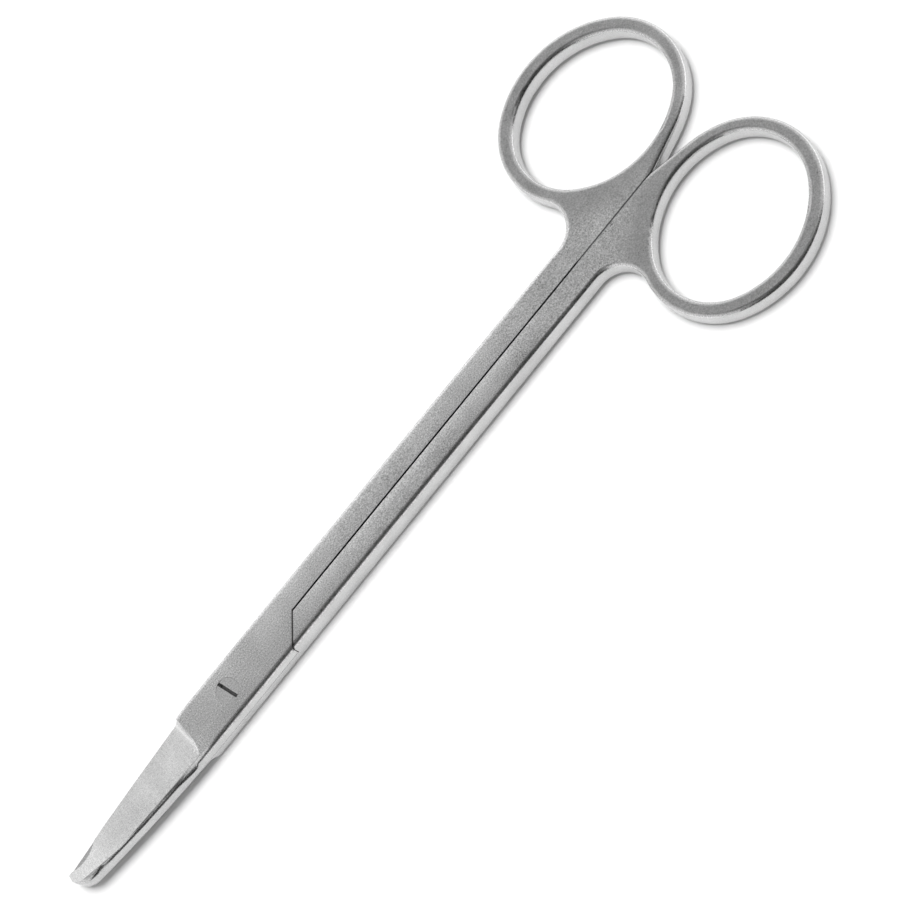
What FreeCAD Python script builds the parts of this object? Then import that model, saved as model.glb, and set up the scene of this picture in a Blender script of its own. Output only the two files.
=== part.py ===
# Suture scissors: two forged halves lapped over each other at a slotted joint screw.
# The upper half is the one with its face upwards. The lower half is the same forging
# turned over about the long axis, with a tapped bore and no notch in its blade.
#
# Frame, millimetres: origin on the joint screw's axis, in the underside plane.
# +X runs from the joint to the finger rings, +Y to the upper half's ring and
# +Z out of the face that shows the screw's slot. The scissors lie closed.
import FreeCAD, Part
import math
import os
import Sketcher

os.makedirs("parts", exist_ok=True)
doc = FreeCAD.newDocument("suture_scissors")
V = FreeCAD.Vector

# places and directions closer than this count as the same, in millimetres or as a sine
SAME = 0.01
# a cut that takes away less than this, in cubic millimetres, has missed the piece
SMALLEST_CUT = 0.0001

# The driving sizes. Lengths are in millimetres and angles in degrees.
DRIVING = [
    ("thickness", 3.8, "full thickness of a shank, and of the two laps together"),
    ("taper_start", 20.0, "joint screw to where the shanks start to thin"),
    ("taper_end", 74.0, "joint screw to where they are as thin as the rings"),
    ("ring_thick", 3.2, "thickness of the rings"),
    ("edge_round", 0.7, "rounding along the outer edges of the forging"),
    ("lap_play", 0.05, "gap between the two laps"),
    ("shank_gap", 0.28, "slit between the two shanks"),
    ("stop_gap", 0.03, "what is left of the slit where the halves stop each other"),
    ("joint_half", 3.95, "half the width of the closed shanks and of the joint"),
    ("joint_reach", 6.0, "how far the joint's straight sides run towards the tips"),
    ("tip_reach", 35.2, "joint screw to the tips"),
    ("tip_corner", 1.85, "cutting edge's corner at the tip, from the long axis"),
    ("nose_round", 3.3, "rounding of the nose between tip and spine"),
    ("spine_sweep", 236.0, "radius of the spine's long curve"),
    ("edge_sweep", 600.0, "radius of the cutting edge's long curve"),
    ("edge_land", 0.12, "height of the blunt land under the cutting edge"),
    ("bevel_start", 9.7, "joint screw to the foot of the ground bevel"),
    ("bevel_cove", 1.6, "radius that the grinding wheel leaves at that foot"),
    ("ridge_start", 3.1, "bevel's ridge from the long axis, near the joint"),
    ("nose_reach", 27.0, "joint screw to where the upper bevel's ridge bends round the nose"),
    ("ridge_bend", 2.7, "the ridge from the long axis, at that bend"),
    ("ridge_end", 0.9, "upper bevel's ridge from the long axis, at the tips"),
    ("lower_ridge_end", 2.2, "lower bevel's ridge from the long axis, at the tips"),
    ("tip_inset", 0.04, "how far the lower blade's tip lies inside the upper one's outline"),
    ("notch_reach", 32.15, "joint screw to the middle of the stitch notch"),
    ("notch_length", 5.4, "length of the notch along the cutting edge"),
    ("notch_depth", 0.95, "depth of the notch into the blade"),
    ("shoulder_reach", 14.55, "joint screw to the shoulders' inner corner"),
    ("shoulder_gap", 0.16, "gap along the shoulders"),
    ("hollow_depth", 0.12, "depth of the hollow ground into each blade's inner face"),
    ("hollow_half", 1.9, "half width of that hollow"),
    ("hollow_start", 7.0, "joint screw to the start of the hollow"),
    ("hollow_end", 31.0, "joint screw to the end of the hollow"),
    ("stop_lead", 16.6, "start of the stop, before the middle of the ring's opening"),
    ("stop_trail", 1.3, "end of the stop, before the middle of the ring's opening"),
    ("stop_ramp", 2.0, "length over which the slit closes before the stop"),
    ("ring_reach", 95.6, "joint screw to the middle of a ring's opening"),
    ("ring_side", 13.85, "long axis to the middle of a ring's opening"),
    ("ring_turn", 9.3, "how far a ring's far end leans towards the long axis"),
    ("opening_long", 25.5, "length of a ring's opening"),
    ("opening_wide", 21.3, "width of a ring's opening"),
    ("opening_end", 9.4, "radius of the opening's two ends"),
    ("ring_wall", 2.35, "thickness of a ring's wall"),
    ("ring_heavy", 0.2, "how much further out the ring's outside is set"),
    ("neck_round", 4.5, "rounding between a shank's outer side and its ring"),
    ("head_radius", 1.82, "radius of the screw's head at the face"),
    ("pin_radius", 1.2, "radius of the screw's plain shank"),
    ("thread_radius", 1.1, "radius of the screw's threaded end"),
    ("pin_clearance", 0.03, "running clearance between screw and upper half"),
    ("thread_clearance", 0.01, "what is left between screw thread and tapped bore"),
    ("head_sink", 0.02, "how far the head lies under the face"),
    ("head_land", 0.25, "straight wall of the head above its cone"),
    ("end_chamfer", 0.15, "chamfer at the screw's end"),
    ("slot_width", 0.53, "width of the driver slot"),
    ("slot_depth", 0.6, "depth of the driver slot"),
    ("overcut", 1.0, "how far a cutting shape reaches past what it cuts"),
    ("slot_turn", 10.0, "turn of the slot from square to the long axis"),
]

# Sizes that follow from the driving ones. The nose circle touches the end of the
# tip and the spine's curve, and the bevel runs from its ridge to the cutting edge.
DERIVED = [
    ("lap_level", "thickness / 2 + lap_play / 2", "underside of the upper lap"),
    ("nose_x", "nose_round - tip_reach", "middle of the nose circle"),
    ("nose_y", "spine_sweep - joint_half"
     " - sqrt((spine_sweep - nose_round)^2 - (nose_x + joint_reach)^2)", "its height"),
    ("spine_ratio", "spine_sweep / (spine_sweep - nose_round)", "reach of the touching point"),
    ("spine_x", "-joint_reach + (nose_x + joint_reach) * spine_ratio", "where nose meets spine"),
    ("spine_y", "spine_sweep - joint_half"
     " + (nose_y + joint_half - spine_sweep) * spine_ratio", "its height"),
    ("bevel_rise", "thickness / 2 - lap_play / 2 - edge_land", "height of the bevel"),
    ("start_slope", "bevel_rise / (ridge_start + joint_half)", "bevel's slope at its foot"),
    ("edge_fall", "(joint_half - tip_corner) / (tip_reach - joint_reach)", "cutting edge's slant"),
    ("bend_edge", "tip_corner + (tip_reach - nose_reach) * edge_fall"
     " + (tip_reach - nose_reach) * (nose_reach - joint_reach) / (2 * edge_sweep)",
     "cutting edge from the long axis, at the bend"),
    ("bend_slope", "bevel_rise / (ridge_bend + bend_edge)", "upper bevel's slope at the bend"),
    ("end_slope", "bevel_rise / (ridge_end + tip_corner)", "upper bevel's slope at the tips"),
    ("lower_end_slope", "bevel_rise / (lower_ridge_end - spine_y)", "lower bevel's slope there"),
    ("inner_nose", "nose_round - tip_inset", "nose of the lower blade"),
    ("inner_x", "nose_x + (spine_x - nose_x) * inner_nose / nose_round", "its end"),
    ("inner_y", "nose_y + (spine_y - nose_y) * inner_nose / nose_round", "the same, in height"),
    ("hollow_round", "(hollow_half^2 + hollow_depth^2) / (2 * hollow_depth)",
     "radius of the hollow across the blade"),
    ("hollow_wheel", "((hollow_end - hollow_start)^2 / 4 + hollow_depth^2) / (2 * hollow_depth)",
     "radius of the wheel that grinds it, along the blade"),
    ("hollow_turn", "2 * asin((hollow_end - hollow_start) / (2 * hollow_wheel))",
     "angle that the wheel sweeps"),
    ("fall", "(thickness - ring_thick) / 2", "how far each face of a ring lies inside a shank's"),
    ("past_ring", "ring_reach + opening_long / 2 + ring_wall + overcut", "beyond the ring's end"),
    ("stop_start", "ring_reach - stop_lead", "joint screw to the start of the stop"),
    ("stop_end", "ring_reach - stop_trail", "joint screw to the end of the stop"),
    ("opening_side", "((opening_long / 2 - opening_end)^2 + opening_wide^2 / 4 - opening_end^2)"
     " / (opening_wide - 2 * opening_end)", "radius of the opening's two sides"),
    ("end_middle", "opening_long / 2 - opening_end", "middle of an end's arc from the oval's"),
    ("side_middle", "opening_side - opening_wide / 2", "middle of a side's arc from the oval's"),
    ("arc_gap", "opening_side - opening_end", "distance between the middles of those arcs"),
    ("ring_y", "ring_side + ring_heavy", "middle of the ring's outside"),
    ("round_x", "ring_reach + side_middle * sin(ring_turn * 1deg)",
     "middle of the arc on the ring's outside that faces the slit"),
    ("round_y", "ring_y + side_middle * cos(ring_turn * 1deg)", "its height"),
    ("ring_round", "opening_side + ring_wall", "its radius"),
    ("away_x", "stop_end - round_x", "the stop's end from that middle"),
    ("away_y", "stop_gap / 2 - round_y", "the same, in height"),
    ("away_square", "away_x^2 + away_y^2", "the square of that distance"),
    ("near_share", "ring_round^2 / away_square", "share of that way to the touching point"),
    ("side_share", "ring_round * sqrt(away_square - ring_round^2) / away_square",
     "the same, square to it"),
    ("touch_x", "round_x + away_x * near_share - away_y * side_share",
     "where a line from the stop's end touches the ring"),
    ("touch_y", "round_y + away_y * near_share + away_x * side_share", "its height"),
    ("notch_round", "(notch_length^2 / 4 + notch_depth^2) / (2 * notch_depth)", "notch radius"),
    ("edge_swell", "(tip_reach - notch_reach) * (notch_reach - joint_reach) / (2 * edge_sweep)",
     "swell of the cutting edge at the notch"),
    ("notch_y", "tip_corner + (tip_reach - notch_reach) * edge_fall + edge_swell"
     " + notch_round - notch_depth", "middle of the notch circle"),
    ("bore_radius", "pin_radius + pin_clearance", "bore in the upper half"),
    ("seat_radius", "head_radius + pin_clearance", "seat of the screw's head"),
    ("tapped_radius", "thread_radius + thread_clearance", "tapped bore in the lower half"),
    ("head_level", "thickness - head_sink", "face of the screw's head"),
    ("land_level", "head_level - head_land", "top of the head's cone"),
    ("cone_level", "land_level - head_radius + pin_radius", "foot of the head's cone"),
    ("pin_level", "thickness / 2 - lap_play / 2", "where the screw's shoulder meets the lower half"),
]

sheet = doc.addObject("Spreadsheet::Sheet", "Sizes")
for row, (name, value, note) in enumerate(DRIVING + DERIVED, start=1):
    text = value if isinstance(value, str) else repr(value)
    sheet.set("A%d" % row, name)
    sheet.set("B%d" % row, "=" + text if isinstance(value, str) else text)
    sheet.setAlias("B%d" % row, name)
    sheet.set("C%d" % row, note)
doc.recompute()


def size(name):
    """The value of one cell of the sheet, as a plain number."""
    return float(getattr(sheet, name))


def bound(text):
    """An expression with every size's name written as a cell of the sheet."""
    names = [name for name, _, _ in DRIVING + DERIVED]
    words = "".join(c if c.isalnum() or c == "_" else " " + c + " " for c in text).split()
    return " ".join("Sizes." + word if word in names else word for word in words)


def worked_out(text):
    """The same expression as a number, for a sketch's first draft."""
    return float(sheet.evalExpression(bound(text)))


def sketch_on(body, name, role, lift=None):
    """A sketch on one of the body's own planes, lifted along that plane's normal."""
    plane = [p for p in body.Origin.OriginFeatures if p.Role == role][0]
    sketch = body.newObject("Sketcher::SketchObject", name)
    sketch.AttachmentSupport = (plane, [""])
    sketch.MapMode = "FlatFace"
    if lift:
        sketch.setExpression(".AttachmentOffset.Base.z", bound(lift))
    doc.recompute()
    return sketch


def drive(sketch, kind, parts, text):
    """A constraint whose value is an expression on the sheet."""
    value = worked_out(text)
    number = sketch.addConstraint(Sketcher.Constraint(kind, *parts, value))
    sketch.setExpression("Constraints[%d]" % number, bound(text))


def loop(sketch, corners):
    """A closed loop, counter-clockwise: each corner is (x, y, radius of the side after it)."""
    points = [V(worked_out(x), worked_out(y), 0) for x, y, _ in corners]
    sides = []
    for here, there, (_, _, radius) in zip(points, points[1:] + points[:1], corners):
        if radius is None:
            sides.append(sketch.addGeometry(Part.LineSegment(here, there), False))
            continue
        r = worked_out(radius)
        chord = there - here
        inward = V(-chord.y, chord.x, 0).normalize()
        centre = (here + there) * 0.5 + inward * math.sqrt(r * r - chord.Length ** 2 / 4)
        start = math.atan2(here.y - centre.y, here.x - centre.x)
        end = math.atan2(there.y - centre.y, there.x - centre.x)
        circle = Part.Circle(centre, V(0, 0, 1), r)
        sides.append(sketch.addGeometry(Part.ArcOfCircle(circle, start, end), False))
    for side, following in zip(sides, sides[1:] + sides[:1]):
        sketch.addConstraint(Sketcher.Constraint("Coincident", side, 2, following, 1))
    for side, (x, y, radius) in zip(sides, corners):
        drive(sketch, "DistanceX", (-1, 1, side, 1), x)
        drive(sketch, "DistanceY", (-1, 1, side, 1), y)
        if radius is not None:
            drive(sketch, "Radius", (side,), radius)
    return sketch


def oval(body, name, y, wall):
    """A leaning oval of four arcs about a ring's middle, set out by a wall's thickness.

    The arcs of the ends and of the sides meet on the line through their middles, so the
    oval is smooth, and one that is set out by the wall runs parallel to the opening.
    """
    sketch = sketch_on(body, name, "XY_Plane")
    sketch.setExpression(".AttachmentOffset.Base.x", bound("ring_reach"))
    sketch.setExpression(".AttachmentOffset.Base.y", bound(y))
    sketch.setExpression(".AttachmentOffset.Rotation.Angle", bound("-ring_turn * 1deg"))
    doc.recompute()
    end = "(opening_end + %s)" % wall
    side = "opening_side + %s" % wall
    x = "(end_middle + %s * end_middle / arc_gap)" % end
    y = "(%s * side_middle / arc_gap)" % end
    return loop(sketch, [
        (x, "-" + y, end),
        (x, y, side),
        ("-" + x, y, end),
        ("-" + x, "-" + y, side),
    ])


def circle(sketch, x, y, radius):
    """A circle about a point."""
    shape = Part.Circle(V(worked_out(x), worked_out(y), 0), V(0, 0, 1), worked_out(radius))
    edge = sketch.addGeometry(shape, False)
    drive(sketch, "DistanceX", (-1, 1, edge, 3), x)
    drive(sketch, "DistanceY", (-1, 1, edge, 3), y)
    drive(sketch, "Radius", (edge,), radius)
    return sketch


def feature(body, kind, name, profile, **settings):
    """A feature of the body made from a sketch, with its sizes bound to the sheet."""
    made = body.newObject("PartDesign::" + kind, name)
    made.Profile = profile
    for setting, value in settings.items():
        if isinstance(value, str) and setting in ("Length", "Length2"):
            made.setExpression(setting, bound(value))
        else:
            setattr(made, setting, value)
    profile.Visibility = False
    doc.recompute()
    return made


def edges_where(body, test):
    """Names of the edges of the body's last feature whose middle and heading pass a test."""
    names = []
    for number, edge in enumerate(body.Tip.Shape.Edges, start=1):
        halfway = (edge.FirstParameter + edge.LastParameter) / 2
        if test(edge, edge.valueAt(halfway), edge.tangentAt(halfway)):
            names.append("Edge%d" % number)
    return names


def fillet(body, name, radius, test):
    """A fillet on the edges of the last feature that pass a test."""
    base = body.Tip
    names = edges_where(body, test)
    made = body.newObject("PartDesign::Fillet", name)
    made.Base = (base, names)
    made.setExpression("Radius", bound(radius))
    doc.recompute()
    return made


def forging(name, tip_side, tip_end, bevel_plan):
    """One half before it is bored: lap, shank and ring, rounded outside, with a ground blade.

    The lap's plan runs counter-clockwise: tip_side is its start, from the tip to the joint
    along the spine, and tip_end is its close, along the cutting edge and across the tip.
    bevel_plan is the bevel from the joint to the tip: each (place, ridge, slope there).
    """
    body = doc.addObject("PartDesign::Body", name)

    # the lap and the blade, half as thick as the shank, on the far side of the lap level
    lap = sketch_on(body, name + "_lap_plan", "XY_Plane", "lap_level")
    loop(lap, tip_side + [
        ("-joint_reach", "-joint_half", None),
        ("shoulder_reach - shoulder_gap - joint_half", "-joint_half", None),
        ("shoulder_reach - shoulder_gap + shank_gap / 2", "shank_gap / 2", None),
        ("shoulder_reach + joint_half", "shank_gap / 2", None),
        ("shoulder_reach + joint_half", "joint_half", None),
    ] + tip_end)
    feature(body, "Pad", name + "_lap", lap, Length="thickness - lap_level")

    # the shank, from its shoulder to the ring, with the closing stop on its inner side
    shank = sketch_on(body, name + "_shank_plan", "XY_Plane")
    loop(shank, [
        ("shoulder_reach - shank_gap / 2", "shank_gap / 2", None),
        ("stop_start - stop_ramp", "shank_gap / 2", None),
        ("stop_start", "stop_gap / 2", None),
        ("stop_end", "stop_gap / 2", None),
        ("touch_x", "touch_y", None),
        ("ring_reach", "ring_y", None),
        ("ring_reach - opening_long / 4", "joint_half", None),
        ("shoulder_reach - joint_half", "joint_half", None),
    ])
    feature(body, "Pad", name + "_shank", shank, Length="thickness")

    ring = oval(body, name + "_ring_plan", "ring_y", "ring_wall")
    feature(body, "Pad", name + "_ring", ring, Length="thickness")

    def at_neck(edge, middle, along):
        upright = abs(along.z) > 1 - SAME
        outer_side = abs(middle.y - size("joint_half")) < SAME
        return upright and outer_side and middle.x > size("ring_reach") - size("opening_long")
    fillet(body, name + "_neck", "neck_round", at_neck)

    # both faces fall away from behind the shoulders, so the shank thins towards its ring
    wedges = sketch_on(body, name + "_taper_profile", "XZ_Plane")
    loop(wedges, [
        ("taper_start", "thickness", None),
        ("taper_end", "thickness - fall", None),
        ("past_ring", "thickness - fall", None),
        ("past_ring", "thickness + overcut", None),
        ("taper_start", "thickness + overcut", None),
    ])
    loop(wedges, [
        ("taper_start", "-overcut", None),
        ("past_ring", "-overcut", None),
        ("past_ring", "fall", None),
        ("taper_end", "fall", None),
        ("taper_start", "0", None),
    ])
    feature(body, "Pocket", name + "_taper", wedges, Type="ThroughAll", Midplane=True)

    opening = oval(body, name + "_opening_plan", "ring_side", "0")
    feature(body, "Pocket", name + "_opening", opening, Type="ThroughAll", Reversed=True)

    # the forging's outer edges are rounded; those on the slit and the shoulders stay crisp
    def on_a_face(point):
        share = (point.x - size("taper_start")) / (size("taper_end") - size("taper_start"))
        fall = size("fall") * min(max(share, 0), 1)
        return min(abs(point.z - fall), abs(point.z - size("thickness") + fall)) < SAME

    def outer_edge(edge, middle, along):
        on_face = all(on_a_face(point) for point in [middle] + [end.Point for end in edge.Vertexes])
        slit = abs(middle.y) < size("shank_gap") and middle.x > size("joint_reach")
        straight = edge.Curve.TypeId == "Part::GeomLine"
        shoulder = straight and abs(abs(along.x) - abs(along.y)) < SAME
        to_crease = min(abs(middle.x - size(name)) for name in ("taper_start", "taper_end"))
        crease = straight and abs(along.y) > 1 - SAME and to_crease < SAME
        return on_face and not slit and not shoulder and not crease
    fillet(body, name + "_rounding", "edge_round", outer_edge)

    # the bevel, ground from the ridge beside the spine down to the cutting edge
    sections = []
    for number, (place, top, fall) in enumerate(bevel_plan):
        section = sketch_on(body, "%s_bevel_section_%d" % (name, number), "YZ_Plane", place)
        loop(section, [
            ("-(%s + overcut)" % top, "thickness + overcut * %s" % fall, None),
            ("joint_half + overcut",
             "thickness - (%s + joint_half + overcut) * %s" % (top, fall), None),
            ("joint_half + overcut", "thickness + 2 * overcut", None),
            ("-(%s + overcut)" % top, "thickness + 2 * overcut", None),
        ])
        sections.append(section)
    bevel = body.newObject("PartDesign::SubtractiveLoft", name + "_bevel")
    bevel.Profile = sections[0]
    bevel.Sections = sections[1:]
    bevel.Ruled = True
    doc.recompute()

    # the round foot that the grinding wheel leaves where the bevel starts
    rims = []
    for number, side in enumerate(("-(joint_half + overcut)", "joint_half + overcut")):
        rim = sketch_on(body, "%s_cove_rim_%d" % (name, number), "XZ_Plane", "-(%s)" % side)
        circle(rim, "-bevel_start",
               "thickness - (ridge_start + %s) * start_slope + bevel_cove" % side, "bevel_cove")
        rims.append(rim)
    cove = body.newObject("PartDesign::SubtractiveLoft", name + "_cove")
    cove.Profile = rims[0]
    cove.Sections = [rims[1]]
    cove.Ruled = True
    doc.recompute()

    # the inner face is ground hollow, so that closing blades touch only along their edges
    dish = sketch_on(body, name + "_hollow_profile", "YZ_Plane", "-(hollow_start + hollow_end) / 2")
    dish.setExpression(".AttachmentOffset.Base.y", bound("lap_level + hollow_depth - hollow_wheel"))
    circle(dish, "0", "hollow_wheel - hollow_round", "hollow_round")
    hollow = body.newObject("PartDesign::Groove", name + "_hollow")
    hollow.Profile = dish
    hollow.ReferenceAxis = (dish, ["H_Axis"])
    hollow.Midplane = True
    hollow.setExpression("Angle", bound("hollow_turn"))
    doc.recompute()
    return body


def turned(body, kind, name, profile):
    """A feature turned a full circle about the sketch's upright axis, the screw's own."""
    made = body.newObject("PartDesign::" + kind, name)
    made.Profile = profile
    made.ReferenceAxis = (profile, ["V_Axis"])
    made.Angle = 360
    doc.recompute()
    return made


def upper_half():
    """The half on top: stitch notch in its blade, and a seat for the screw's head."""
    name = "upper_half"
    body = forging(name, [
        ("-tip_reach", "nose_y", "nose_round"),
        ("spine_x", "spine_y", "spine_sweep"),
    ], [
        ("-joint_reach", "joint_half", "edge_sweep"),
        ("-tip_reach", "tip_corner", None),
    ], [
        ("-bevel_start", "ridge_start", "start_slope"),
        ("-nose_reach", "ridge_bend", "bend_slope"),
        ("-tip_reach", "ridge_end", "end_slope"),
    ])
    notch = circle(sketch_on(body, name + "_notch_plan", "XY_Plane"),
                   "-notch_reach", "notch_y", "notch_round")
    feature(body, "Pocket", name + "_notch", notch, Type="ThroughAll", Reversed=True)

    seat = loop(sketch_on(body, name + "_seat_profile", "XZ_Plane"), [
        ("0", "lap_level - overcut", None),
        ("bore_radius", "lap_level - overcut", None),
        ("bore_radius", "cone_level", None),
        ("seat_radius", "land_level", None),
        ("seat_radius", "thickness + overcut", None),
        ("0", "thickness + overcut", None),
    ])
    turned(body, "Groove", name + "_seat", seat)
    return body


def lower_half():
    """The half below: the same forging turned over, with a tapped bore for the screw.

    The tips are ground together with the scissors closed, so this blade's outline is the
    upper one's, a little inside it, and its nose lies on its cutting edge's side.
    """
    name = "lower_half"
    body = forging(name, [
        ("tip_inset - tip_reach", "tip_inset - tip_corner", "edge_sweep"),
    ], [
        ("-joint_reach", "joint_half", "spine_sweep"),
        ("inner_x", "-inner_y", "inner_nose"),
        ("tip_inset - tip_reach", "-nose_y", None),
    ], [
        ("-bevel_start", "ridge_start", "start_slope"),
        ("-tip_reach", "lower_ridge_end", "lower_end_slope"),
    ])
    bore = sketch_on(body, name + "_bore_plan", "XY_Plane")
    bore.addGeometry(Part.Circle(V(0, 0, 0), V(0, 0, 1), size("tapped_radius")), False)
    bore.addConstraint(Sketcher.Constraint("Coincident", 0, 3, -1, 1))
    drive(bore, "Radius", (0,), "tapped_radius")
    feature(body, "Pocket", name + "_bore", bore, Type="ThroughAll", Reversed=True)
    body.Placement = FreeCAD.Placement(V(0, 0, size("thickness")),
                                       FreeCAD.Rotation(V(1, 0, 0), 180))
    body.setExpression(".Placement.Base.z", bound("thickness"))
    return body


def joint_screw():
    """The slotted screw: its cone seats in the upper half and its thread in the lower one."""
    name = "joint_screw"
    body = doc.addObject("PartDesign::Body", name)
    profile = loop(sketch_on(body, name + "_profile", "XZ_Plane"), [
        ("0", "0", None),
        ("thread_radius - end_chamfer", "0", None),
        ("thread_radius", "end_chamfer", None),
        ("thread_radius", "pin_level", None),
        ("pin_radius", "pin_level", None),
        ("pin_radius", "cone_level", None),
        ("head_radius", "land_level", None),
        ("head_radius", "head_level", None),
        ("0", "head_level", None),
    ])
    turned(body, "Revolution", name + "_turned", profile)

    slot = sketch_on(body, name + "_slot_plan", "XY_Plane", "head_level - slot_depth")
    slot.setExpression(".AttachmentOffset.Rotation.Angle", bound("slot_turn * 1deg"))
    loop(slot, [
        ("-slot_width / 2", "-(head_radius + overcut)", None),
        ("slot_width / 2", "-(head_radius + overcut)", None),
        ("slot_width / 2", "head_radius + overcut", None),
        ("-slot_width / 2", "head_radius + overcut", None),
    ])
    feature(body, "Pocket", name + "_slot", slot, Type="ThroughAll", Reversed=True)
    return body


pieces = [upper_half(), lower_half(), joint_screw()]
doc.recompute()

# every object is sound, every cut took something away, and then each piece is written
for thing in doc.Objects:
    if "Invalid" in thing.State or "Error" in thing.State:
        raise RuntimeError("%s failed: %s" % (thing.Name, thing.State))
CUTS = ("PartDesign::Pocket", "PartDesign::Groove", "PartDesign::SubtractiveLoft", "PartDesign::Fillet")
for thing in doc.Objects:
    if thing.TypeId in CUTS:
        change = abs(thing.Shape.Volume - thing.BaseFeature.Shape.Volume)
        print("%-28s changed the volume by %8.3f cubic mm" % (thing.Name, change))
        if change < SMALLEST_CUT:
            raise RuntimeError("%s changed nothing" % thing.Name)
for piece in pieces:
    if piece.Shape.isNull() or not piece.Shape.isValid() or len(piece.Shape.Solids) != 1:
        raise RuntimeError("%s isn't one sound solid" % piece.Label)
for piece in pieces:
    piece.Shape.exportStep("parts/%s.step" % piece.Label)
    print("%-12s %8.2f cubic mm" % (piece.Label, piece.Shape.Volume))
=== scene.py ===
# %% [markdown]
# # Suture scissors on a white table
#
# Slim surgical scissors lie closed on a white table, ring handles to the upper right. Their
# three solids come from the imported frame: an upper half, a lower half and the screw that
# joins them. The shapes are finished there, so this lesson is about steel. It sets up the
# camera, explains a satin finish, a ground blade and a turned screw head as small shader
# programs, and then builds the white surroundings that the metal mirrors.

# %% Load the solids
import math

import bpy
import numpy as np
from mathutils import Matrix, Vector

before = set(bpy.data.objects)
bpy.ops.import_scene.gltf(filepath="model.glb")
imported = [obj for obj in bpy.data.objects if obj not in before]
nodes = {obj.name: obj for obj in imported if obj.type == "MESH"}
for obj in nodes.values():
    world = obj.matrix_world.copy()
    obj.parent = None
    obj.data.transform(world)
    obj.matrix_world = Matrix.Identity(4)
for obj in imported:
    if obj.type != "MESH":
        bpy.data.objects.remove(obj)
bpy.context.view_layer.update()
MM = 0.001

# %% [markdown]
# ## The camera
#
# The scissors are seen from above at 29 degrees off the vertical, and the camera is rolled so
# that they run from the lower left to the upper right. A long lens keeps the rings nearly as
# large as they are. The place and the three angles were worked out by laying the outlines of
# the rings, the slit and the screw's head over each other, which is more exact than turning
# the view by eye. The camera's own axes are written as a matrix: right, up and backwards.

# %% Place the camera
SIDE_STEP = math.radians(5.8)
TILT = math.radians(29.0)
ROLL = math.radians(-55.9)
CAMERA_PLACE = (0.069582, -0.234909, 0.423677)
LENS = 137.66
SENSOR = 36.0
NEAREST_SEEN = 0.01

backwards = Vector((math.sin(TILT) * math.sin(SIDE_STEP),
                    -math.sin(TILT) * math.cos(SIDE_STEP),
                    math.cos(TILT)))
level_right = Vector((math.cos(SIDE_STEP), math.sin(SIDE_STEP), 0))
level_up = backwards.cross(level_right)
right = level_right * math.cos(ROLL) + level_up * math.sin(ROLL)
up = level_up * math.cos(ROLL) - level_right * math.sin(ROLL)

lens = bpy.data.cameras.new("camera")
lens.lens = LENS
lens.sensor_width = SENSOR
lens.clip_start = NEAREST_SEEN
lens.dof.use_dof = False
camera = bpy.data.objects.new("camera", lens)
bpy.context.scene.collection.objects.link(camera)
turn = Matrix((right, up, backwards)).transposed().to_4x4()
camera.matrix_world = Matrix.Translation(CAMERA_PLACE) @ turn
bpy.context.scene.camera = camera
bpy.context.scene.view_settings.view_transform = "Standard"
print("camera looks along", [round(-part, 3) for part in backwards])

# %% [markdown]
# ## Writing shader maths as Python
#
# A finish is a formula that runs at every point of a surface. Dragging Math nodes by hand
# hides that formula, so one class wraps a socket and lets Python's own operators add the
# nodes. With it, `1 - mask` is one line and one node. Everything that isn't plain maths, such
# as a noise texture or the steel shader itself, comes from one method that sets the node's
# settings first and then its sockets.


# %% A socket that does maths, and a tree that makes nodes
class Wire:
    """One output socket. Arithmetic on it adds Math nodes and gives the next socket."""

    def __init__(self, tree, socket):
        self.tree = tree
        self.socket = socket

    def maths(self, operation, *others):
        values = dict(enumerate((self,) + others))
        return self.tree.node("ShaderNodeMath", {"operation": operation}, values)

    def __add__(self, other):
        return self.maths("ADD", other)

    def __sub__(self, other):
        return self.maths("SUBTRACT", other)

    def __rsub__(self, other):
        return self.tree.node("ShaderNodeMath", {"operation": "SUBTRACT"}, {0: other, 1: self})

    def __mul__(self, other):
        return self.maths("MULTIPLY", other)

    def __truediv__(self, other):
        return self.maths("DIVIDE", other)

    __radd__ = __add__
    __rmul__ = __mul__

    def larger(self, other):
        return self.maths("MAXIMUM", other)

    def size(self):
        """The value without its sign."""
        return self.larger(-1 * self)

    def ramp(self, low, high):
        """0 below low, 1 above high and a smooth S-shaped rise between them."""
        settings = {"interpolation_type": "SMOOTHSTEP", "clamp": True}
        return self.tree.node("ShaderNodeMapRange", settings, {0: self, 1: low, 2: high})


class Tree:
    """A node tree of a material or of the world."""

    def __init__(self, owner):
        owner.use_nodes = True
        self.nodes = owner.node_tree.nodes
        self.links = owner.node_tree.links
        self.nodes.clear()

    def node(self, kind, settings, sockets, output=0):
        """Any node: its settings are set first, then the values or wires of its sockets."""
        made = self.nodes.new(kind)
        for key, value in settings.items():
            setattr(made, key, value)
        for key, value in sockets.items():
            if isinstance(value, Wire):
                self.links.new(value.socket, made.inputs[key])
            else:
                made.inputs[key].default_value = value
        return Wire(self, made.outputs[output]) if made.outputs else made


# %% [markdown]
# ## Patterns in millimetres
#
# Whatever is uneven on the steel comes from noise that reads the place on the piece. Object
# coordinates give that place in metres, so one node turns it into millimetres, and a cell of
# 0.19 is then 0.19 mm on the real steel. Cells with equal sides make grain, and cells that are
# stretched one way make brushing. A picture of steel could be wrapped round the piece
# instead, but it would need an unfolded surface, and it would blur close up.

# %% A steel's tree, and noise with cells of a given size
NOISE_DETAIL = 2.0
FINE_DETAIL = 3.0
OCTAVE_SHARE = 0.55
HALFWAY = 0.5


def steel_tree(name):
    """An empty material with its tree and its object coordinates, in millimetres."""
    material = bpy.data.materials.new(name)
    tree = Tree(material)
    place = tree.node("ShaderNodeTexCoord", {}, {}, "Object")
    place = tree.node("ShaderNodeVectorMath", {"operation": "SCALE"}, {0: place, "Scale": 1 / MM})
    return material, tree, place


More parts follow.
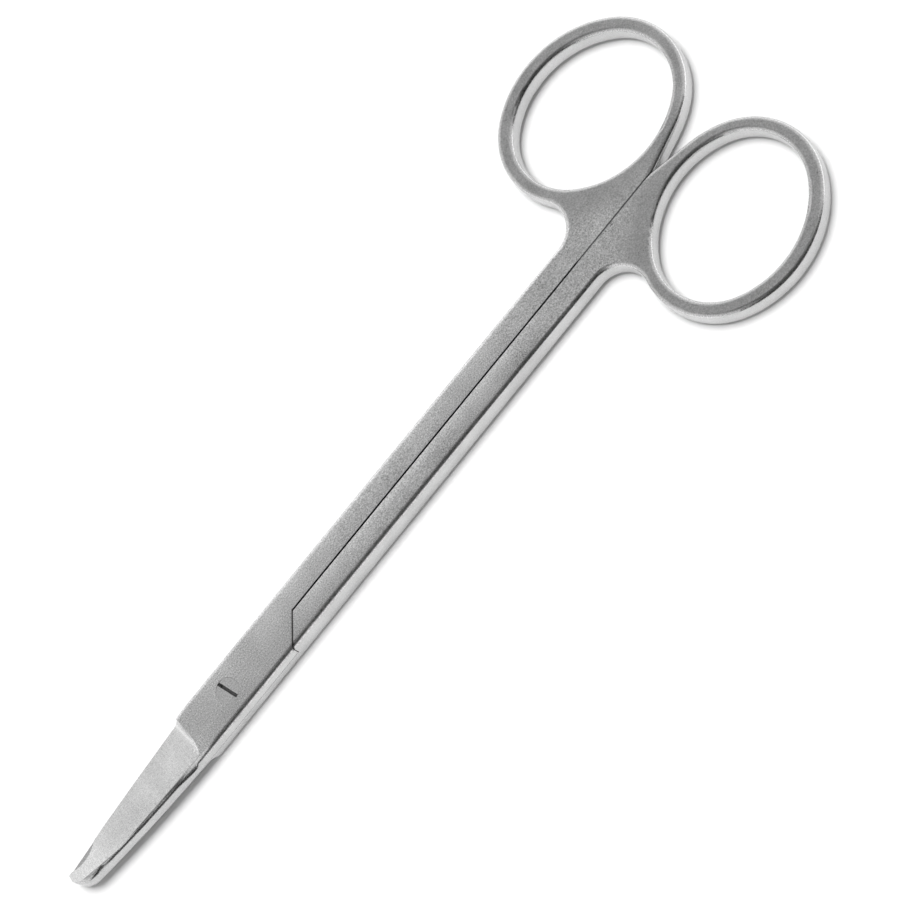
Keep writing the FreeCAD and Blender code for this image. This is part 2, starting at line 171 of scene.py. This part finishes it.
def noise(tree, place, cell, shift=0.0, detail=NOISE_DETAIL):
    """Noise from 0 to 1, about HALFWAY, whose cells are cell millimetres along x, y and z."""
    settings = {"vector_type": "POINT"}
    stretch = {"Location": (shift, shift, shift), "Scale": tuple(1 / side for side in cell)}
    moved = tree.node("ShaderNodeMapping", settings, {"Vector": place, **stretch})
    sockets = {"Vector": moved, "Scale": 1.0, "Detail": detail, "Roughness": OCTAVE_SHARE}
    return tree.node("ShaderNodeTexNoise", {"noise_dimensions": "3D"}, sockets, "Fac")


def grey(tree, value):
    """The same value as a colour."""
    return tree.node("ShaderNodeCombineColor", {}, {0: value, 1: value, 2: value})


print("noise: detail", NOISE_DETAIL, "or", FINE_DETAIL, "for grain")

# %% [markdown]
# ## Where the steel changes
#
# Three things on the halves follow from the place alone. The flat faces are a little crowned,
# as polishing on a soft wheel tends to leave them, so each grows brighter away from the
# viewer. The rings' narrow flats are a darker grey. And where the halves meet, shade is
# painted into the fine groove as a darker grey. Each is a formula of the distance along,
# across and above the table, so no picture has to be painted. Their sizes were set until the
# tones came close to those of the real pair.

# %% The crown, the groove and the flats of the rings
# A pair of lengths is where a mask starts and where it is full, in millimetres.
FACE = (3.2, 3.45)
SHANK = (8.0, 20.0)
CROWN_RISES = (-9.0, -3.0)
CROWN_FADES = (60.0, 76.0)
JOINT_CROWN = 0.02
GROOVE_LEVEL = (3.0, 3.3)
SHOULDER_X = 14.47
SHOULDER_SIDES = (0.09, 0.3)
SHOULDER_END = 0.2
STOP_X = 77.0
STOP_SIDES = (0.06, 0.19)
STOP_RISE = 2.0
RING_MIDDLE = (95.6, 13.85)
RING_OPENING = (12.75, 10.65)
RING_NEAR = (1.25, 2.3)


def crown(along, across, curve, middle):
    """Height in millimetres: it falls by half the curve times the squared way off the middle.

    On the joint the curve is JOINT_CROWN and the middle y = 0. They turn into the given
    curve and y = middle on the shank, and the crown fades out at the bevel and at the rings.
    """
    on_shank = along.ramp(*SHANK)
    off = across - middle * on_shank
    bent = JOINT_CROWN + (curve - JOINT_CROWN) * on_shank
    faded = along.ramp(*CROWN_RISES) * (1 - along.ramp(*CROWN_FADES))
    return off * off * bent * faded * -0.5


def groove_shade(along, across, level):
    """Mask of painted shade: 1 in the groove where the halves meet, at the shoulders and the
    stop.

    The shoulders lie on the line x - y = SHOULDER_X, and the stop on y = 0 beyond STOP_X.
    """
    beside = along - across - SHOULDER_X
    shoulders = 1 - beside.size().ramp(*SHOULDER_SIDES)
    shoulders = shoulders * (1 - along.ramp(SHOULDER_X, SHOULDER_X + SHOULDER_END))
    stop = 1 - across.size().ramp(*STOP_SIDES)
    stop = stop * along.ramp(STOP_X, STOP_X + STOP_RISE)
    return shoulders.larger(stop) * level.ramp(*GROOVE_LEVEL)


def ring_flat(along, across, level):
    """1 on the narrow flats of both rings, and fading out towards the shanks.

    It reads the squared way to the opening's middle, each part of it divided by half the
    opening, so that it is about 1 all along the rim.
    """
    beside = (along - RING_MIDDLE[0]) / RING_OPENING[0]
    above = (across.size() - RING_MIDDLE[1]) / RING_OPENING[1]
    near = 1 - (beside * beside + above * above).ramp(*RING_NEAR)
    return near * level.ramp(*FACE)


print("ring openings about", RING_MIDDLE, "with half sizes", RING_OPENING)

# %% [markdown]
# ## Satin steel
#
# Surgical steel is bead-blasted or satin-brushed so that it doesn't dazzle. Seen close up, it
# is a fine grey grain, strongest on the flat faces and rubbed down on the rounded edges. A
# faint run of brushing follows the shanks, and polishing by hand leaves it a little blotchy.
# A metal has no colour of its own under that: it mirrors its surroundings, and the finish
# only blurs them. So the grain goes into the roughness, the bump and the reflected grey.
#
# The blades are ground after that on a finer wheel. The grinding is smoother, and its lines
# run across the slope. A mask along the scissors, read from the distance to the joint, fades
# one finish into the other over the width of the bevel's round foot.

# %% The satin finish of the two halves
GRAIN = 0.19
BRUSH_LONG = 9.0
BRUSH_FINE = 0.13
BLOTCH = 5.0
BEVEL_FOOT = -9.7
FOOT_WIDTH = 0.3
EDGE_BREAK = 0.07
EDGE_SAMPLES = 6
RELIEF = 0.004

# greys, and how far each pattern moves them
STEEL_GREY = 0.58
GROUND_DARKER = 0.03
RING_GREY = 0.75
# grey of the painted shade in the groove between the halves
GROOVE_SHADE_GREY = 0.25
GRAIN_EVERYWHERE = 0.35
GRAIN_ON_FACES = 0.95
GRAIN_LOST_ON_RINGS = 0.5
GRAIN_ON_BEVEL = 0.2
LINES_TONE = 0.12
BLOTCH_TONE = 0.2

# roughness, and how far each pattern moves it
SATIN = 0.24
FACES_DULLER = 0.06
GRAIN_DULLER = 0.08
BLOTCH_DULLER = 0.06

# each half with its shank's curve and middle line, and the shift of its patterns
HALVES = (
    ("upper_half", 0.045, 0.9, 0.0),
    ("lower_half", 0.075, -2.1, 31.0),
)


def finish_steel(tree, material, colour, roughness, height, depth):
    """Closes the tree with a metal shader whose bump is depth millimetres high.

    Sharp edges are broken by hand on such tools, so the normal turns over EDGE_BREAK there.
    """
    broken = tree.node("ShaderNodeBevel", {"samples": EDGE_SAMPLES}, {"Radius": EDGE_BREAK * MM})
    sockets = {"Strength": 1.0, "Distance": depth * MM, "Height": height, "Normal": broken}
    bump = tree.node("ShaderNodeBump", {}, sockets)
    metal = tree.node("ShaderNodeBsdfPrincipled", {}, {
        "Base Color": grey(tree, colour), "Metallic": 1.0,
        "Roughness": roughness, "Normal": bump})
    tree.node("ShaderNodeOutputMaterial", {}, {"Surface": metal})
    return material


def satin_steel(name, curve, middle, shift):
    """Satin forging with a ground blade.

    The curve and the middle are those of its shank's crown, and the shift keeps the two
    halves from sharing a pattern.
    """
    material, tree, place = steel_tree(name)
    along, across, level = (tree.node("ShaderNodeSeparateXYZ", {}, {0: place}, axis)
                            for axis in "XYZ")
    ground = 1 - along.ramp(BEVEL_FOOT - FOOT_WIDTH, BEVEL_FOOT + FOOT_WIDTH)
    grain = noise(tree, place, (GRAIN, GRAIN, GRAIN), shift, FINE_DETAIL)
    brush = noise(tree, place, (BRUSH_LONG, BRUSH_FINE, BRUSH_FINE), shift)
    blotch = noise(tree, place, (BLOTCH, BLOTCH, BLOTCH), shift)
    wheel = noise(tree, place, (BRUSH_FINE, BRUSH_LONG, BRUSH_LONG), shift)
    lines = brush * (1 - ground) + wheel * ground
    face = level.ramp(*FACE)
    rings = ring_flat(along, across, level)

    on_faces = GRAIN_ON_FACES * face * (1 - ground) * (1 - GRAIN_LOST_ON_RINGS * rings)
    graininess = GRAIN_EVERYWHERE + on_faces + GRAIN_ON_BEVEL * ground
    colour = STEEL_GREY + graininess * (grain - HALFWAY)
    colour = colour + LINES_TONE * (lines - HALFWAY) + BLOTCH_TONE * (blotch - HALFWAY)
    colour = colour - GROUND_DARKER * ground
    colour = colour * (1 - (1 - RING_GREY) * rings)
    # painted shade: the steel darkens in the groove between the halves, at the shoulders and the
    # stop
    colour = colour * (1 - (1 - GROOVE_SHADE_GREY) * groove_shade(along, across, level))

    roughness = SATIN + FACES_DULLER * face * (1 - ground)
    roughness = roughness + GRAIN_DULLER * (grain - HALFWAY) + BLOTCH_DULLER * (blotch - HALFWAY)
    height = grain + lines + crown(along, across, curve, middle) / RELIEF
    return finish_steel(tree, material, colour, roughness, height, RELIEF)


for name, curve, middle, shift in HALVES:
    node = nodes[name]
    node.data.materials.clear()
    node.data.materials.append(satin_steel("satin_steel_" + name, curve, middle, shift))
    print(name, "has", len(node.data.polygons), "faces")

# %% [markdown]
# ## The screw
#
# The screw is turned on a lathe, so its face carries fine rings about its own axis. The
# distance from that axis is all the pattern needs: noise read along it gives uneven rings.
# Its slot is sawn, and shade is painted into it: the steel darkens below the level of the face.

# %% The turned face of the screw
RING_STEP = 0.09
SCREW_RELIEF = 0.003
SLOT_FLOOR = 3.2
FACE_LEVEL = 3.7
# grey of the painted shade in the screw's slot
SLOT_SHADE_GREY = 0.2
SCREW_GREY = 0.55
TURNED_TONE = 0.10
SCREW_GRAIN = 0.8
GRAIN_HEIGHT = 0.5
TURNED = 0.32


def turned_steel(name):
    """Turned steel: uneven rings about the screw's axis, which is the frame's z axis."""
    material, tree, place = steel_tree(name)
    flat = tree.node("ShaderNodeVectorMath", {"operation": "MULTIPLY"}, {0: place, 1: (1, 1, 0)})
    radius = tree.node("ShaderNodeVectorMath", {"operation": "LENGTH"}, {0: flat}, "Value")
    spot = tree.node("ShaderNodeCombineXYZ", {}, {0: radius})
    rings = noise(tree, spot, (RING_STEP, 1.0, 1.0))
    grain = noise(tree, place, (GRAIN, GRAIN, GRAIN))
    level = tree.node("ShaderNodeSeparateXYZ", {}, {0: place}, "Z")
    out_of_slot_shade = level.ramp(SLOT_FLOOR, FACE_LEVEL)
    colour = SCREW_GREY + TURNED_TONE * (rings - HALFWAY) + SCREW_GRAIN * (grain - HALFWAY)
    # painted shade in the slot: darker below the level of the face
    colour = colour * (SLOT_SHADE_GREY + (1 - SLOT_SHADE_GREY) * out_of_slot_shade)
    roughness = TURNED + GRAIN_DULLER * (grain - HALFWAY)
    height = rings + GRAIN_HEIGHT * grain
    return finish_steel(tree, material, colour, roughness, height, SCREW_RELIEF)


screw = nodes["joint_screw"]
screw.data.materials.clear()
screw.data.materials.append(turned_steel("turned_steel"))
print("joint_screw has", len(screw.data.polygons), "faces")

# %% [markdown]
# ## White surroundings
#
# Polished metal looks like what stands around it, so the set matters as much as the steel.
# The table is white, and so is everything beyond it. On the camera's side and overhead is
# the dark of the room, and that gives the rounded edges their dark lines. High on the far
# side hang two grey sheets that set the tone of the flat faces. A bright one under them
# lights whatever tilts a little away, and two at the horizon wash out the far edges, the
# stronger one behind the rings. All are parts of one dome: a point on it follows from its
# bearing b and its height over the horizon h, `radius * (cos(h) cos(b), cos(h) sin(b),
# sin(h))`. A studio would hang cloths there, and a few lamps alone would only leave spots.

# %% Surfaces from two parameters
DOME_STEPS = 25
# name, radius in metres, bearings and heights in degrees, strength
SHEETS = (
    ("dark_side", 2.0, (-132, -33), (12, 90), 0.04),
    ("dark_top", 1.95, (-180, 180), (72, 90), 0.06),
    ("grey_right", 1.9, (62, 93), (46, 72), 0.50),
    ("grey_left", 1.9, (93, 140), (46, 72), 0.65),
    ("bright_high", 2.05, (-30, 210), (37, 46), 1.3),
    ("bright_right", 2.1, (-30, 92), (-2, 17), 2.2),
    ("bright_left", 2.1, (92, 210), (-2, 17), 1.4),
)


def surface(name, points):
    """A mesh over a grid of points, rows by columns, with a face between each four."""
    rows, columns = points.shape[:2]
    corner = np.arange(rows * columns).reshape(rows, columns)
    faces = np.stack([corner[:-1, :-1], corner[:-1, 1:], corner[1:, 1:], corner[1:, :-1]], -1)
    mesh = bpy.data.meshes.new(name)
    mesh.from_pydata(points.reshape(-1, 3).tolist(), [], faces.reshape(-1, 4).tolist())
    made = bpy.data.objects.new(name, mesh)
    bpy.context.scene.collection.objects.link(made)
    return made


def dome_part(name, radius, bearings, heights):
    """Part of a dome: bearing and height in degrees, each from a start to an end."""
    bearing = np.radians(np.linspace(*bearings, DOME_STEPS))[:, None]
    height = np.radians(np.linspace(*heights, DOME_STEPS))[None, :]
    x = np.cos(height) * np.cos(bearing)
    y = np.cos(height) * np.sin(bearing)
    z = np.sin(height) + 0 * bearing
    return surface(name, radius * np.stack([x, y, z], -1))


def sheet(name, radius, bearings, heights, strength):
    """A glowing sheet that only the metal sees."""
    made = dome_part(name, radius, bearings, heights)
    material = bpy.data.materials.new(name)
    tree = Tree(material)
    glow = tree.node("ShaderNodeEmission", {}, {"Strength": strength})
    tree.node("ShaderNodeOutputMaterial", {}, {"Surface": glow})
    made.data.materials.append(material)
    made.visible_camera = False
    made.visible_diffuse = False
    made.visible_shadow = False


for row in SHEETS:
    sheet(*row)
print("sheets:", [row[0] for row in SHEETS])

# %% [markdown]
# ## Table, light and air
#
# The table is a flat white sheet. A lamp as wide as a window hangs nearly overhead and makes
# it white. It leans to the far side, so close in front of the scissors, where they hide more
# than half of that lamp, the table darkens softly. The air adds light from all around, which
# reaches under the blades. What the camera and the metal see of the air is plain white.

# %% Table, lamp and world
TABLE_HALF = 1.6
TABLE_WHITE = 0.8
AIR_LIGHT = 0.5
AIR_WHITE = (1, 1, 1, 1)
LAMP_STRENGTH = 2.8
LAMP_WIDTH = math.radians(30)
LAMP_LEAN = math.radians(-7)


def ray(tree, kind):
    """1 for rays of that kind, and otherwise 0."""
    return tree.node("ShaderNodeLightPath", {}, {}, kind)


edge = np.array([-TABLE_HALF, 0.0, TABLE_HALF])
grid_x, grid_y = np.meshgrid(edge, edge)
table = surface("table", np.stack([grid_x, grid_y, 0 * grid_x], -1))
white = bpy.data.materials.new("white_table")
tree = Tree(white)
paper = tree.node("ShaderNodeBsdfDiffuse", {}, {"Color": (TABLE_WHITE,) * 3 + (1,)})
tree.node("ShaderNodeOutputMaterial", {}, {"Surface": paper})
table.data.materials.append(white)

world = bpy.data.worlds.new("white_air")
bpy.context.scene.world = world
tree = Tree(world)
seen = ray(tree, "Is Camera Ray").larger(ray(tree, "Is Glossy Ray"))
seen = seen.larger(ray(tree, "Is Transmission Ray"))
strength = AIR_LIGHT + (1 - AIR_LIGHT) * seen
air = tree.node("ShaderNodeBackground", {}, {"Color": AIR_WHITE, "Strength": strength})
tree.node("ShaderNodeOutputWorld", {}, {"Surface": air})

lamp = bpy.data.lights.new("overhead_lamp", "SUN")
lamp.energy = LAMP_STRENGTH
lamp.angle = LAMP_WIDTH
overhead = bpy.data.objects.new("overhead_lamp", lamp)
bpy.context.scene.collection.objects.link(overhead)
overhead.rotation_euler = (LAMP_LEAN, 0, 0)
overhead.visible_glossy = False
print("table of", 2 * TABLE_HALF, "m under a lamp of strength", LAMP_STRENGTH)
